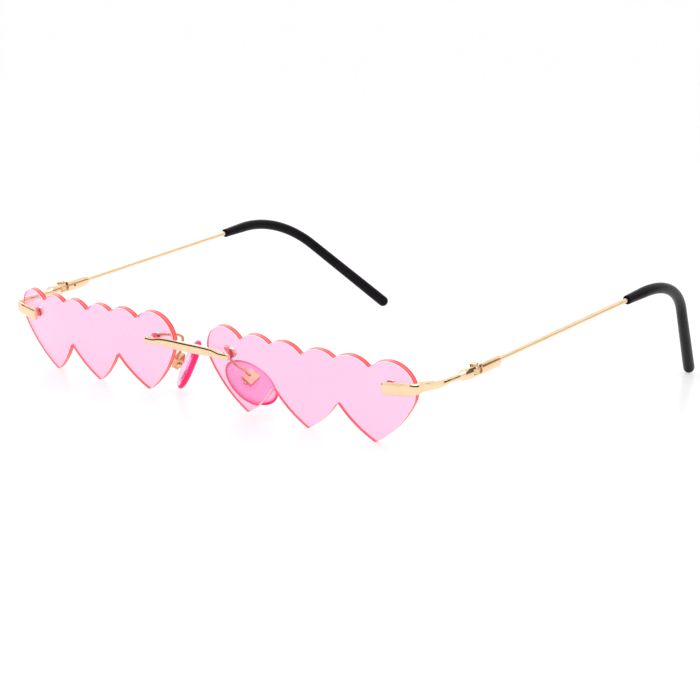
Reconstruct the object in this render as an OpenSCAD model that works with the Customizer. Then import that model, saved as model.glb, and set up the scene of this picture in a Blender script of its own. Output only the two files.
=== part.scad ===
// Rimless sunglasses whose lenses are rows of joined hearts.
// X runs across the face with the wearer's left at +X, Y runs back along the temples, Z is up.
// The glasses stand as if laid on a table: on the outer heart tips and on the left temple's end.
// The origin is on the table, in the middle plane of the face, halfway from the bridge to the tip ends.

/* [Lenses] */
// Distance between neighbouring hearts on one lens
heart_pitch = 19; // [18.6:0.2:19.8]
// Height of the lobes above the sharp heart tips
lens_h = 21.4; // [20.4:0.2:23]
// Radius of the round lobes
lobe_r = 6.75; // [6.4:0.05:6.9]
// Distance of a lobe's middle from its heart's centre line
lobe_x = 5.18; // [5:0.02:5.4]
// Angle below the lobe's middle where its round turns into the long side
side_turn = 29; // [20:1:34]
// Rounding of the heart tips
tip_r = 0.7; // [0.4:0.1:1.2]
// Rounding of the inner corners between lobes and between hearts
notch_r = 0.5; // [0.3:0.1:0.8]
// Thickness of a lens
lens_t = 1.6; // [1.2:0.1:2.4]
// Radius of the front face, nearly a base 3 curve
lens_curve_r = 200; // [180:2:260]
// Height of a lens's centre above its tips
lens_mid = 12; // [11:0.5:13]
// Distance of a lens's centre from the middle of the face
lens_x = 36.75; // [36.5:0.05:38]
// Lean of the lens tops towards the front
lens_lean = 14.3; // [10:0.1:17]
// Wrap of the outer ends towards the back
lens_wrap = 4.4; // [2.4:0.1:6]
// Droop of the outer ends
lens_droop = 2.8; // [1:0.1:3.5]

/* [Lens fixings] */
// Distance of the lens holes from the lens's centre
hole_x = 24; // [23.6:0.1:24.6]
// Height of the holes for the bridge above the tips
inner_hole_v = 14.2; // [13.6:0.1:15.2]
// Height of the holes for the endpieces above the tips
outer_hole_v = 15.1; // [14.4:0.1:15.6]
// Diameter of the threaded studs
stud_d = 1.2; // [1:0.1:1.4]
// Wall of the plastic bushings in the lens holes
bushing_wall = 0.3; // [0.25:0.05:0.4]
// Clearance all round between a bushing, its stud and its hole
fit_gap = 0.04; // [0.02:0.01:0.06]
// Diameter of the washers behind the lenses
washer_d = 2.5; // [2.4:0.1:2.9]
// Thickness of the washers
washer_t = 0.3; // [0.25:0.05:0.5]
// Width across the flats of the cap nuts
nut_w = 2.1; // [2.1:0.1:2.6]
// Height of the six-sided part of the nuts
nut_h = 0.7; // [0.7:0.1:1.1]
// Height of the round caps of the nuts
nut_cap_h = 0.4; // [0.4:0.1:0.8]

/* [Bridge and endpieces] */
// Length of the bridge bar beyond its studs
bridge_lap = 1.5; // [1.4:0.05:2]
// Height of the bridge bar in the middle
bridge_h = 2.4; // [2:0.1:2.8]
// Height of the bridge bar at its ends
bridge_end_h = 1.75; // [1.7:0.05:2.2]
// Thickness of the bridge bar from front to back
bridge_t = 1.5; // [1.3:0.1:1.6]
// Distance of the bridge's kinks from the middle of the face
bridge_kink_x = 8.6; // [7.8:0.1:9.4]
// Distance of the kinks behind the bridge's ends
bridge_kink = 0.06; // [0:0.02:0.1]
// Distance of the bridge's middle in front of its ends
bridge_bow = 0.2; // [0:0.05:0.4]
// Drop of the bridge's studs below its middle
bridge_drop = 0.3; // [0.1:0.05:0.6]
// Height of the endpiece bars on the lens fronts
bar_h = 3.1; // [2.6:0.1:3.2]
// Thickness of the endpiece bars
bar_t = 1.5; // [1.3:0.1:1.6]
// Length of the endpiece bars inwards of their studs
bar_lap = 1.1; // [1:0.05:1.4]
// Rounding of the inner end of the endpiece bars
bar_round = 0.5; // [0.3:0.05:0.7]
// Rise of the endpiece bars from the stud to the bend
bar_rise = 0.65; // [0.4:0.05:0.9]
// Height and thickness of the arm behind the bend
arm_d = 1.5; // [1.4:0.1:1.7]
// Gap between the bars and the lens fronts, which the stud collars fill
bar_gap = 0.12; // [0.1:0.02:0.2]
// Gap between the bend and the end of the lens
bend_gap = 0.46; // [0.44:0.02:0.6]
// Diameter of the stud collars
collar_d = 2; // [1.8:0.1:2.2]

/* [Hinges] */
// Distance of the hinge axes from the middle of the face
hinge_x = 71.3; // [70.9:0.1:72.1]
// Distance of the hinge axes behind the lens centres
hinge_y = 20.8; // [20:0.1:21.8]
// Height of the hinge axes above the table
hinge_z = 18; // [17.4:0.05:18.6]
// Outward splay of the open temples
temple_splay = 2.6; // [0:0.1:3]
// Turn of the left temple towards the head as it lies
left_temple_turn = 5.3; // [0:0.1:8]
// Turn of the right temple towards the head as it lies
right_temple_turn = 0.4; // [0:0.1:8]
// Height of the hinge leaves and of the hinge housing
hinge_h = 2.8; // [2.8:0.1:3.2]
// Width of the hinge leaves and of the hinge housing
hinge_w = 2.6; // [2.4:0.1:2.8]
// Length of the hinge leaves in front of the axis
leaf_l = 5.7; // [5.4:0.1:6.2]
// Length of the taper at the front of the leaves
leaf_nose_l = 3; // [2.4:0.1:3.4]
// Thickness of the slider's eye
eye_t = 1.2; // [1:0.1:1.3]
// Distance of the housing's front face behind the axis
house_gap = 1.6; // [1.55:0.05:1.9]
// Length of the hinge housing
house_l = 8.3; // [8.2:0.1:9.2]
// Outward spread of the temples that the hinges allow
flex_turn = 12; // [8:1:14]
// Diameter of the hinge screws
screw_d = 1.1; // [1:0.05:1.2]
// Diameter of the hinge screws' heads
screw_head_d = 2.2; // [1.8:0.1:2.4]
// Height of the hinge screws' heads
screw_head_h = 0.5; // [0.4:0.1:0.7]
// Running clearance all round in the hinges
run_gap = 0.04; // [0.02:0.01:0.06]
// Diameter of the slider's rod inside the housing
rod_d = 0.8; // [0.7:0.05:0.9]
// Diameter of the spring wire
spring_wire = 0.22; // [0.2:0.01:0.24]
// Turns of the spring
spring_turns = 5; // [4:0.5:6]
// Length of the spring
spring_l = 2.4; // [2.2:0.05:2.5]
// Travel of the slider against its spring
flex_travel = 0.35; // [0.3:0.01:0.4]
// Depth of the spring stop behind the housing's front face
stop_depth = 1.8; // [1.7:0.05:1.9]
// Thickness of the spring stop
stop_l = 1; // [0.9:0.1:1.1]
// Diameter of the pin that locks the spring stop
lock_pin_d = 0.6; // [0.5:0.05:0.7]

/* [Temples] */
// Diameter of the temple wires
wire_d = 1.25; // [1.1:0.05:1.3]
// Straight length of a temple from the hinge axis to the bend
straight_l = 74; // [66:0.2:82]
// Radius of the bend behind the ear
bend_r = 34.2; // [28:0.2:40]
// Angle of the left temple's bend behind the ear
left_bend_turn = 51.9; // [48:0.1:56]
// Angle of the right temple's bend behind the ear
right_bend_turn = 48.6; // [46:0.1:56]
// Lean of the bend's plane towards the head
bend_lean = 23; // [18:0.5:28]
// Straight length of a temple after the bend
tail_l = 33.4; // [28:0.2:38]
// Length of the plastic tip in front of the bend
tip_lead = 7.9; // [5:0.1:12]
// Diameter of the plastic tips at their front ends
tip_front_d = 2.4; // [2.3:0.1:2.7]
// Diameter of the plastic tips along the bend
tip_mid_d = 2.85; // [2.75:0.05:3.1]
// Diameter of the plastic tips at their round ends
tip_end_d = 3.2; // [3.15:0.05:3.6]

/* [Nose pads] */
// Length of a nose pad
pad_l = 15.2; // [13:0.2:15.6]
// Width of a nose pad
pad_w = 8.7; // [7.6:0.1:9]
// Thickness of a nose pad
pad_t = 2.2; // [2:0.1:2.6]
// Distance of the pad screws from the middle of the face
pad_x = 12.7; // [12.4:0.1:13.4]
// Distance of the pad screws behind the lens centres
pad_y = 8.5; // [8:0.1:9]
// Height of the pad screws above the table
pad_z = 8.3; // [7.9:0.1:8.8]
// Turn of the left pad about its screw as it lies
left_pad_turn = -1; // [-14:1:14]
// Turn of the right pad about its screw as it lies
right_pad_turn = -13; // [-14:1:14]
// Diameter of the pad arms' wire
pad_wire_d = 0.75; // [0.7:0.05:1]
// Reach of the pad arms' loops towards the nose
loop_reach = 3; // [2.6:0.1:3.4]
// Reach of the loops towards the back
loop_back = 1.4; // [1.1:0.1:1.6]
// Rise of the loops
loop_up = 1.6; // [1.3:0.1:1.9]
// Outer width of the square boxes that hold the pads
box_w = 3.2; // [3:0.1:3.4]
// Wall of the boxes
box_wall = 0.45; // [0.4:0.05:0.5]
// Diameter of the pad screws
pad_screw_d = 0.8; // [0.7:0.05:0.9]

/* [Hidden] */

gold = "#e8c89c";
dark_gold = "#b98f5c";
pink = [1, 0.62, 0.86, 0.55];
hot_pink = [1, 0.35, 0.7, 0.8];
clear = [0.95, 0.95, 0.95, 0.6];
black = "#15131a";
steel = "#9a9aa0";

left = 1;
right = -1;
hearts = [-1, 0, 1];
half_turn = 180;
quarter_turn = 90;
sixth_turn = 60;
per_degree = PI / half_turn;
round_fn = 96;
small_fn = 48;
face_fn = 480;
overrun = 1;
touch = 0.01;

// Lens outline
half_lens = heart_pitch + lobe_x + lobe_r;
lobe_v = lens_h - lobe_r;
turn_pt = [lobe_x + lobe_r * cos(side_turn), lobe_v - lobe_r * sin(side_turn)];
turn_dir = [cos(side_turn), -sin(side_turn)];
side_r = (turn_pt * turn_pt) / (2 * (turn_pt * turn_dir));
side_c = turn_pt - side_r * turn_dir;
tip_v = side_c[1] - sqrt(pow(side_r - tip_r, 2) - side_c[0] * side_c[0]);

// Lens holes and what sits in them
bushing_r = stud_d / 2 + fit_gap + bushing_wall;
hole_r = bushing_r + fit_gap;
stud_bore_r = stud_d / 2 + fit_gap;
eyelet_t = 0.5;
seat_gap = 0.02;
eyelet_r = washer_d / 2;
nut_corner_r = nut_w / sqrt(3);
thread_l = nut_h;

// Hinge, in a frame with its origin on the axis, Y back along the temple and Z along the screw
corner_share = 0.96;
barrel_gap = 0.2;
shoulder_gap = 0.05;
eye_gap = 0.1;
spring_room = 0.45;
rod_head_l = 0.5;
rod_head_gap = 0.2;
wire_seat_l = 1.2;
lock_pin_sink = 0.25;
hinge_r = norm([hinge_w, hinge_h]) / 2 * corner_share;
leaf_r = house_gap - barrel_gap;
leaf_back = house_gap - shoulder_gap;
eye_r = leaf_r - eye_gap;
slot_h = eye_t + 2 * run_gap;
slot_front = leaf_r + run_gap;
chamber_r = rod_d / 2 + spring_room;
stop_y = house_gap + stop_depth;
rod_end = stop_y + stop_l + spring_l + flex_travel;
chamber_end = rod_end + rod_head_l + rod_head_gap;
house_end = house_gap + house_l;
wire_start = house_end - wire_seat_l;
lock_pin_y = stop_y + stop_l / 2;

// Middle of a tip's round end in the hinge's frame
tip_end_r = tip_end_d / 2;
function temple_turn(side) = side > 0 ? left_temple_turn : right_temple_turn;
function bend_turn(side) = side > 0 ? left_bend_turn : right_bend_turn;
function end_reach(side) = straight_l + bend_r * sin(bend_turn(side))
    + (tail_l - tip_end_r) * cos(bend_turn(side));
function end_drop(side) = bend_r * (1 - cos(bend_turn(side))) + (tail_l - tip_end_r) * sin(bend_turn(side));
function end_pt(side) =
    turn_z(turn_y([0, end_reach(side), -end_drop(side)], bend_lean), temple_turn(side));

// Temple rise that brings the left tip's round end down onto the table
left_end = end_pt(left);
rise = asin((tip_end_r - hinge_z) / norm([left_end[1], left_end[2]])) - atan2(left_end[2], left_end[1]);

// Points in the frames of the lens and of the hinge
function turn_x(p, a) = [p[0], p[1] * cos(a) - p[2] * sin(a), p[1] * sin(a) + p[2] * cos(a)];
function turn_y(p, a) = [p[0] * cos(a) + p[2] * sin(a), p[1], p[2] * cos(a) - p[0] * sin(a)];
function turn_z(p, a) = [p[0] * cos(a) - p[1] * sin(a), p[0] * sin(a) + p[1] * cos(a), p[2]];
function lens_turned(p) = turn_x(turn_z(turn_y(p, lens_droop), lens_wrap), lens_lean);
function face_sag(u, z) = lens_curve_r - sqrt(lens_curve_r * lens_curve_r - u * u - z * z);

// The outer heart tip stands on the table
low_tip = lens_turned([heart_pitch, face_sag(heart_pitch, tip_v - lens_mid), tip_v - lens_mid]);
lens_z = tip_r * cos(lens_lean) - low_tip[2];
function lens_pt(u, depth, v) =
    [lens_x, 0, lens_z] + lens_turned([u, face_sag(u, v - lens_mid) + depth, v - lens_mid]);
function hinge_pt(x, y, z) = [hinge_x, hinge_y, hinge_z] + turn_z(turn_x([x, y, z], rise), -temple_splay);

// Bounding box middle, from the bridge's front to the tip ends
inner_bar = lens_pt(-hole_x, -bar_gap - bridge_t / 2, inner_hole_v);
bridge_y = inner_bar[1];
front_y = bridge_y - bridge_bow - bridge_t / 2;
back_y = max([for (side = [left, right]) let (p = end_pt(side)) hinge_pt(p[0], p[1], p[2])[1]]) + tip_end_r;
mid_y = (front_y + back_y) / 2;

// Smooth curve through stations, each a point with a height and a width
function blend(a, b, c, d, t) =
    0.5 * (2 * b + (c - a) * t + (2 * a - 5 * b + 4 * c - d) * t * t
    + (3 * b - a - 3 * c + d) * t * t * t);
function curve(p, n) = [
    for (i = [0 : len(p) - 2], k = [0 : n - 1])
        blend(p[max(i - 1, 0)], p[i], p[i + 1], p[min(i + 2, len(p) - 1)], k / n),
    p[len(p) - 1]
];
function unit(v) = v / norm(v);
function place(s) = [s[0], s[1], s[2]];
function along(s, i) = unit(place(s[min(i + 1, len(s) - 1)]) - place(s[max(i - 1, 0)]));
function corner(c, share) = sign(c) * pow(abs(c), share);
function ring(c, t, up, h, w, sides, share = 1) =
    let (side = unit(cross(t, up)), top = cross(side, t))
    [for (k = [0 : sides - 1]) let (a = 2 * half_turn * k / sides)
        c + side * (w / 2 * corner(cos(a), share)) + top * (h / 2 * corner(sin(a), share))];

// Rings that round off an end of a bar, with the rounding's radius and 1 or -1 for the way out
round_turns = [78, 55, 30];
function cap(s, i, up, sides, share, r, way) =
    let (t = along(s, i), e = s[i], turns = way > 0 ? [30, 55, 78] : round_turns)
    [for (a = turns) let (cut = 2 * r * (1 - cos(a)))
        ring(place(e) + t * way * r * sin(a), t, up, e[3] - cut, e[4] - cut, sides, share)];

// Closed skin over rings that all have the same number of points
module skin(rings) {
    n = len(rings[0]);
    m = len(rings);
    polyhedron(
        points = [for (r = rings) each r],
        faces = [
            for (i = [1 : n - 2]) [0, i + 1, i],
            for (i = [1 : n - 2]) [(m - 1) * n, (m - 1) * n + i, (m - 1) * n + i + 1],
            for (j = [0 : m - 2], i = [0 : n - 1]) let (k = (i + 1) % n)
                each [[j * n + i, j * n + k, (j + 1) * n + k],
                      [j * n + i, (j + 1) * n + k, (j + 1) * n + i]]
        ]
    );
}

// Bar or wire along stations: corners square off with a smaller share, ends round off by their radius
module sweep(stations, steps, up, sides, share, start_r, end_r) {
    s = curve(stations, steps);
    n = len(s) - 1;
    skin([
        each start_r > 0 ? cap(s, 0, up, sides, share, start_r, -1) : [],
        for (i = [0 : n]) ring(place(s[i]), along(s, i), up, s[i][3], s[i][4], sides, share),
        each end_r > 0 ? cap(s, n, up, sides, share, end_r, 1) : []
    ]);
}

// One side of the face, moved so that the origin is halfway from front to back
module on_side(side) translate([0, -mid_y, 0]) mirror([side < 0 ? 1 : 0, 0, 0]) children();
module in_lens() translate([lens_x, 0, lens_z]) rotate([lens_lean, 0, 0]) rotate([0, 0, lens_wrap])
    rotate([0, lens_droop, 0]) children();

// On the front face at a hole, with Y square to the face and towards the back
module at_hole(u, v) {
    yaw = asin(u / lens_curve_r);
    pitch = -asin((v - lens_mid) / (lens_curve_r * cos(yaw)));
    in_lens() translate([0, lens_curve_r, 0]) rotate([pitch, 0, 0]) rotate([0, 0, yaw])
        translate([0, -lens_curve_r, 0]) children();
}
module at_inner_hole() at_hole(-hole_x, inner_hole_v) children();
module at_outer_hole() at_hole(hole_x, outer_hole_v) children();
module at_hinge() translate([hinge_x, hinge_y, hinge_z]) rotate([rise, 0, -temple_splay]) children();
module on_temple(side) on_side(side) at_hinge() rotate([0, 0, temple_turn(side)]) children();

// Rod along Y from one place to another
module rod(r, y0, y1, fn = small_fn) translate([0, y1, 0]) rotate([quarter_turn, 0, 0])
    cylinder(r = r, h = y1 - y0, $fn = fn);
module bar_box(w, y0, y1, h) translate([-w / 2, y0, -h / 2]) cube([w, y1 - y0, h]);

// Lens outline, anticlockwise from the left end: along the tips, then back along the lobes
function arc(c, r, a0, a1, steps) =
    [for (i = [0 : steps]) let (a = a0 + (a1 - a0) * i / steps) c + r * [cos(a), sin(a)]];
function corner_v(reach, r, level, way) = level + way * sqrt(pow(r + notch_r, 2) - reach * reach);
half_pitch = heart_pitch / 2;
tip_a = atan2(tip_v - side_c[1], -side_c[0]);
valley_v = corner_v(half_pitch - side_c[0], side_r, side_c[1], -1);
valley_a = atan2(valley_v - side_c[1], half_pitch - side_c[0]);
dip_v = corner_v(lobe_x, lobe_r, lobe_v, 1);
dip_a = atan2(dip_v - lobe_v, -lobe_x);
gap_v = corner_v(half_pitch - lobe_x, lobe_r, lobe_v, 1);
gap_a = atan2(gap_v - lobe_v, lobe_x - half_pitch);
lobe_steps = 14;
side_steps = 6;
corner_steps = 4;
lobe_inset = 8;
corner_inset = 12;
function heart_low(k) = let (m = [k * heart_pitch, 0], first = k == -1, last = k == 1) [
    each arc(m + [-side_c[0], side_c[1]], side_r, half_turn + (first ? side_turn : -valley_a),
             half_turn - tip_a, side_steps),
    each arc(m + [0, tip_v], tip_r, lobe_inset - half_turn - tip_a, tip_a - lobe_inset, corner_steps),
    each arc(m + side_c, side_r, tip_a, last ? -side_turn : valley_a, side_steps),
    each last ? [] : arc(m + [half_pitch, valley_v], notch_r, half_turn + valley_a - corner_inset,
                         corner_inset - valley_a, corner_steps)
];
function heart_top(k) = let (m = [k * heart_pitch, 0], first = k == -1, last = k == 1) [
    each arc(m + [lobe_x, lobe_v], lobe_r, (last ? -side_turn : half_turn - gap_a) + lobe_inset, dip_a,
             lobe_steps),
    each arc(m + [0, dip_v], notch_r, dip_a - half_turn - corner_inset, corner_inset - dip_a, corner_steps),
    each arc(m + [-lobe_x, lobe_v], lobe_r, half_turn - dip_a,
             first ? half_turn + side_turn - lobe_inset : gap_a, lobe_steps),
    each first ? [] : arc(m + [-half_pitch, gap_v], notch_r, gap_a - half_turn - corner_inset,
                          corner_inset - gap_a, corner_steps)
];
module lens_2d() polygon([for (k = hearts) each heart_low(k), for (k = [1, 0, -1]) each heart_top(k)]);
module lens_shell() intersection() {
    translate([0, lens_curve_r / 2, -lens_mid]) rotate([quarter_turn, 0, 0])
        linear_extrude(lens_curve_r) lens_2d();
    translate([0, lens_curve_r, 0]) difference() {
        sphere(lens_curve_r, $fn = face_fn);
        sphere(lens_curve_r - lens_t, $fn = face_fn);
    }
}
module lens(side) color(pink) on_side(side) difference() {
    in_lens() lens_shell();
    at_inner_hole() rod(hole_r, -overrun, lens_t + overrun);
    at_outer_hole() rod(hole_r, -overrun, lens_t + overrun);
}

// What stands in one hole: a collar in front of the lens and a stud through it
module stud(back_l) {
    rod(collar_d / 2, -bar_gap - bar_t / 2, -touch);
    rod(stud_d / 2, -bar_gap - bar_t / 2, back_l);
}
inner_stack = lens_t + washer_t + eyelet_t;
outer_stack = lens_t + washer_t;

// Bridge: a bar with flat sides, whose kinks stand back from its ends and its middle
flat_share = 0.6;
bar_sides = 16;
bar_up = [0, -sin(lens_lean), cos(lens_lean)];
module bridge() color(gold) {
    end_x = inner_bar[0] + bridge_lap - bar_round;
    stud_z = inner_bar[2];
    mid_z = stud_z + bridge_drop;
    half = [
        [end_x, bridge_y, stud_z, bridge_end_h, bridge_t],
        [inner_bar[0] - bridge_lap, bridge_y, stud_z, bridge_end_h, bridge_t],
        [bridge_kink_x, bridge_y + bridge_kink, mid_z, (bridge_h + bridge_end_h) / 2, bridge_t],
        [bridge_kink_x / 2, bridge_y - bridge_bow / 2, mid_z, bridge_h, bridge_t]
    ];
    stations = [
        for (p = half) [-p[0], p[1], p[2], p[3], p[4]],
        [0, bridge_y - bridge_bow, mid_z, bridge_h, bridge_t],
        for (i = [3 : -1 : 0]) half[i]
    ];
    translate([0, -mid_y, 0]) sweep(stations, 3, bar_up, bar_sides, flat_share, bar_round, bar_round);
    for (side = [left, right]) on_side(side) at_inner_hole() stud(inner_stack + thread_l);
}

// Endpiece: a bar on the lens front that bends back round the lens's end and narrows to a round arm
bar_depth = -bar_gap - bar_t / 2;
bend_u = half_lens + bend_gap + bar_t / 2;
bend_h = 2.6;
throat_h = 1.85;
arm_lead = 3.4;
function bar_v(u) = outer_hole_v + bar_rise * (u - hole_x) / (bend_u - hole_x);
module endpiece(side) color(gold) on_side(side) {
    a = lens_pt(hole_x - bar_lap + bar_round, bar_depth, bar_v(hole_x - bar_lap));
    b = lens_pt((hole_x + half_lens) / 2, bar_depth, bar_v((hole_x + half_lens) / 2));
    c = lens_pt(half_lens - bar_t / 2, bar_depth, bar_v(half_lens));
    d = lens_pt(bend_u - bar_t / 4, bar_depth / 2, bar_v(bend_u) + bar_rise / 6);
    e = lens_pt(bend_u + bar_gap, lens_t / 2, bar_v(bend_u) + bar_rise / 2);
    throat = hinge_pt(0, -leaf_l - 2 * arm_lead, 0);
    f = hinge_pt(0, -leaf_l - arm_lead, 0);
    g = hinge_pt(0, -leaf_l - run_gap, 0);
    stations = [
        [a[0], a[1], a[2], bar_h, bar_t], [b[0], b[1], b[2], bar_h, bar_t],
        [c[0], c[1], c[2], bar_h, bar_t], [d[0], d[1], d[2], bend_h, bar_t],
        [e[0], e[1], e[2], bend_h, bar_t], [throat[0], throat[1], throat[2], throat_h, arm_d],
        [f[0], f[1], f[2], arm_d, arm_d], [g[0], g[1], g[2], arm_d, arm_d]
    ];
    sweep(stations, 4, bar_up, bar_sides, flat_share, bar_round, 0);
    at_outer_hole() stud(outer_stack + thread_l);
}

// Front hinge: two leaves that hold the slider's eye, cut back where the spread housing turns
leaf_nose_share = 0.84;
module leaf_plan() {
    circle(leaf_r, $fn = round_fn);
    translate([-hinge_w / 2, -leaf_l]) square([hinge_w, leaf_l]);
    intersection() {
        translate([0, -leaf_l]) square([hinge_w / 2, leaf_l + leaf_back]);
        rotate(-flex_turn) translate([-leaf_l, leaf_back - 2 * leaf_l]) square([2 * leaf_l, 2 * leaf_l]);
    }
}
module hinge_profile(p) polygon([[0, p[0][0]], for (q = p) [q[1], q[0]], [0, p[len(p) - 1][0]]]);
module front_hinge(side) color(gold) on_side(side) at_hinge() difference() {
    intersection() {
        linear_extrude(hinge_h, center = true) leaf_plan();
        rotate([quarter_turn, 0, 0]) rotate_extrude($fn = round_fn) hinge_profile(
            [[leaf_l, arm_d / 2], [leaf_l - leaf_nose_l / 2, hinge_r * leaf_nose_share],
             [leaf_l - leaf_nose_l, hinge_r], [-leaf_back, hinge_r]]);
    }
    translate([-hinge_w, -slot_front, -slot_h / 2]) cube([2 * hinge_w, slot_front + hinge_w, slot_h]);
    cylinder(r = screw_d / 2 + run_gap, h = 2 * hinge_h, center = true, $fn = small_fn);
}

// Fasteners in the lens holes
module each_hole() for (side = [left, right]) on_side(side) {
    at_inner_hole() children();
    at_outer_hole() children();
}
module lens_bushings() color(clear) each_hole() difference() {
    rod(bushing_r, touch, lens_t - touch);
    rod(stud_bore_r, -overrun, lens_t + overrun);
}
module lens_washers() color(clear) each_hole() translate([0, lens_t, 0]) difference() {
    rod(washer_d / 2, seat_gap, washer_t);
    rod(stud_bore_r, -overrun, washer_t + overrun);
}
nut_dome_r = (nut_cap_h * nut_cap_h + nut_w * nut_w / 4) / (2 * nut_cap_h);
module cap_nut() difference() {
    union() {
        rotate([-quarter_turn, 0, 0]) cylinder(r = nut_corner_r, h = nut_h, $fn = 6);
        translate([0, nut_h, 0]) rotate([-quarter_turn, 0, 0]) rotate_extrude($fn = small_fn)
            intersection() {
                translate([0, nut_cap_h - nut_dome_r]) circle(nut_dome_r, $fn = round_fn);
                square([nut_w, nut_w]);
            }
    }
    rod(stud_bore_r, -overrun, thread_l + touch);
}
module lens_nuts() color(gold) for (side = [left, right]) on_side(side) {
    at_inner_hole() translate([0, inner_stack + touch, 0]) cap_nut();
    at_outer_hole() translate([0, outer_stack + touch, 0]) cap_nut();
}

// Nose pads hang on a screw: X runs down the pad, Y along the screw, Z towards the nose
// The two arms are bent a little differently, so each pad has its own angles
left_pad_angles = [-135, 33, 15];
right_pad_angles = [-135, 47.5, -5.5];
function pad_angles(side) = side > 0 ? left_pad_angles : right_pad_angles;
pad_reach = 1.5;
lug_t = 1.2;
lug_w = 1.1;
lug_r = 0.75;
box_depth = 1.3;
box_open = 0.55;
insert_r = 2;
insert_t = 0.8;
module at_pad(side) translate([pad_x, pad_y, pad_z]) rotate(pad_angles(side)) children();
function pad_turned(side, p) = let (a = pad_angles(side)) turn_z(turn_y(turn_x(p, a[0]), a[1]), a[2]);
function pad_pt(side, x, y, z) = [pad_x, pad_y, pad_z] + pad_turned(side, [x, y, z]);
module across(r, l) rotate([quarter_turn, 0, 0]) cylinder(r = r, h = l, center = true, $fn = small_fn);

// Pad arm: an eyelet on the stud, whose tab carries a looped wire to the box that holds the pad
tab_turn = 30;
tab_gap = 0.1;
tab_reach = nut_corner_r + pad_wire_d / 2 + tab_gap;
loop_shares = [[0.12, 0.42, 0.3, 0.5], [0.4, 1, 1, 1], [0.6, 1, 0.3, 0.3], [0.82, 0.55, 0, 0]];
wire_sink = 0.18;
wire_up = [0.55, 0.7, 0.45];
module eyelet() translate([0, lens_t + washer_t, 0]) difference() {
    union() {
        rod(eyelet_r, touch, eyelet_t);
        rotate([0, tab_turn - half_turn, 0]) translate([0, touch, -pad_wire_d / 2])
            cube([tab_reach, eyelet_t - touch, pad_wire_d]);
    }
    rod(stud_bore_r, -overrun, eyelet_t + overrun);
}
module pad_arm(side) color(gold) on_side(side) {
    at_inner_hole() eyelet();
    start = lens_pt(-hole_x - tab_reach * cos(tab_turn), lens_t + washer_t + pad_wire_d / 2,
                    inner_hole_v + tab_reach * sin(tab_turn));
    entry = pad_pt(side, -box_w / 2 - pad_wire_d / 2, 0, -box_depth - pad_wire_d / 2);
    seat = pad_pt(side, -box_w / 8, 0, -box_depth - wire_sink);
    points = [
        start,
        for (q = loop_shares)
            start + (entry - start) * q[0] + [-loop_reach * q[1], loop_back * q[2], loop_up * q[3]],
        entry,
        seat
    ];
    sweep([for (p = points) [p[0], p[1], p[2], pad_wire_d, pad_wire_d]],
          4, wire_up, 10, 1, pad_wire_d / 2, pad_wire_d / 2);
    at_pad(side) difference() {
        translate([-box_w / 2, -box_w / 2, -box_depth]) cube([box_w, box_w, box_depth + box_open]);
        translate([-box_w / 2 + box_wall, -box_w / 2 + box_wall, -box_depth + box_wall])
            cube([box_w - 2 * box_wall, box_w - 2 * box_wall, box_depth + box_open]);
        across(pad_screw_d / 2 + run_gap, box_w + overrun);
    }
}
pad_head_share = 0.8;
module pad_screws() color(gold) for (side = [left, right]) on_side(side) at_pad(side) {
    across(pad_screw_d / 2, box_w + 4 * touch);
    translate([0, box_w / 2 + touch, 0]) rotate([-quarter_turn, 0, 0]) difference() {
        cylinder(r = pad_screw_d * pad_head_share, h = pad_screw_d / 2, $fn = small_fn);
        translate([-pad_screw_d, -pad_screw_d / 8, pad_screw_d / 4])
            cube([2 * pad_screw_d, pad_screw_d / 4, pad_screw_d]);
    }
}
module on_pad(side) on_side(side) at_pad(side)
    rotate([0, side > 0 ? left_pad_turn : right_pad_turn, 0]) children();
module pad_insert(side) color(clear) on_pad(side) difference() {
    union() {
        across(lug_r, lug_t);
        translate([-lug_w / 2, -lug_t / 2, 0]) cube([lug_w, lug_t, pad_reach + insert_t / 2]);
        translate([0, 0, pad_reach + insert_t / 2]) cylinder(r = insert_r, h = insert_t, $fn = small_fn);
    }
    across(pad_screw_d / 2 + run_gap, box_w);
}
pad_shares = [[0, 0.74], [0.1, 0.88], [0.3, 0.98], [0.5, 1], [0.72, 0.96], [0.88, 0.84], [1, 0.55]];
pad_sides = 28;
pad_egg_share = 0.08;
module nose_pad(side) color(hot_pink) on_pad(side) difference() {
    skin([for (q = pad_shares) [for (k = [0 : pad_sides - 1]) let (a = -2 * half_turn * k / pad_sides)
        [pad_l / 2 * q[1] * cos(a), pad_w / 2 * q[1] * sin(a) * (1 + pad_egg_share * cos(a)),
         pad_reach + pad_t * q[0]]]]);
    translate([0, 0, pad_reach + insert_t / 2 - run_gap])
        cylinder(r = insert_r + run_gap, h = insert_t + 2 * run_gap, $fn = small_fn);
    translate([-lug_w / 2 - run_gap, -lug_t / 2 - run_gap, 0])
        cube([lug_w + 2 * run_gap, lug_t + 2 * run_gap, pad_reach + insert_t]);
}

// Hinge screw, with its slotted head on the upper leaf
module hinge_screw(side) color(dark_gold) on_side(side) at_hinge() difference() {
    union() {
        cylinder(r = screw_d / 2, h = hinge_h + 4 * touch, center = true, $fn = small_fn);
        translate([0, 0, hinge_h / 2 + touch])
            cylinder(r = screw_head_d / 2, h = screw_head_h, $fn = small_fn);
    }
    translate([-screw_head_d, -screw_head_d / 10, hinge_h / 2 + screw_head_h / 2])
        cube([2 * screw_head_d, screw_head_d / 5, screw_head_h]);
}

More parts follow.
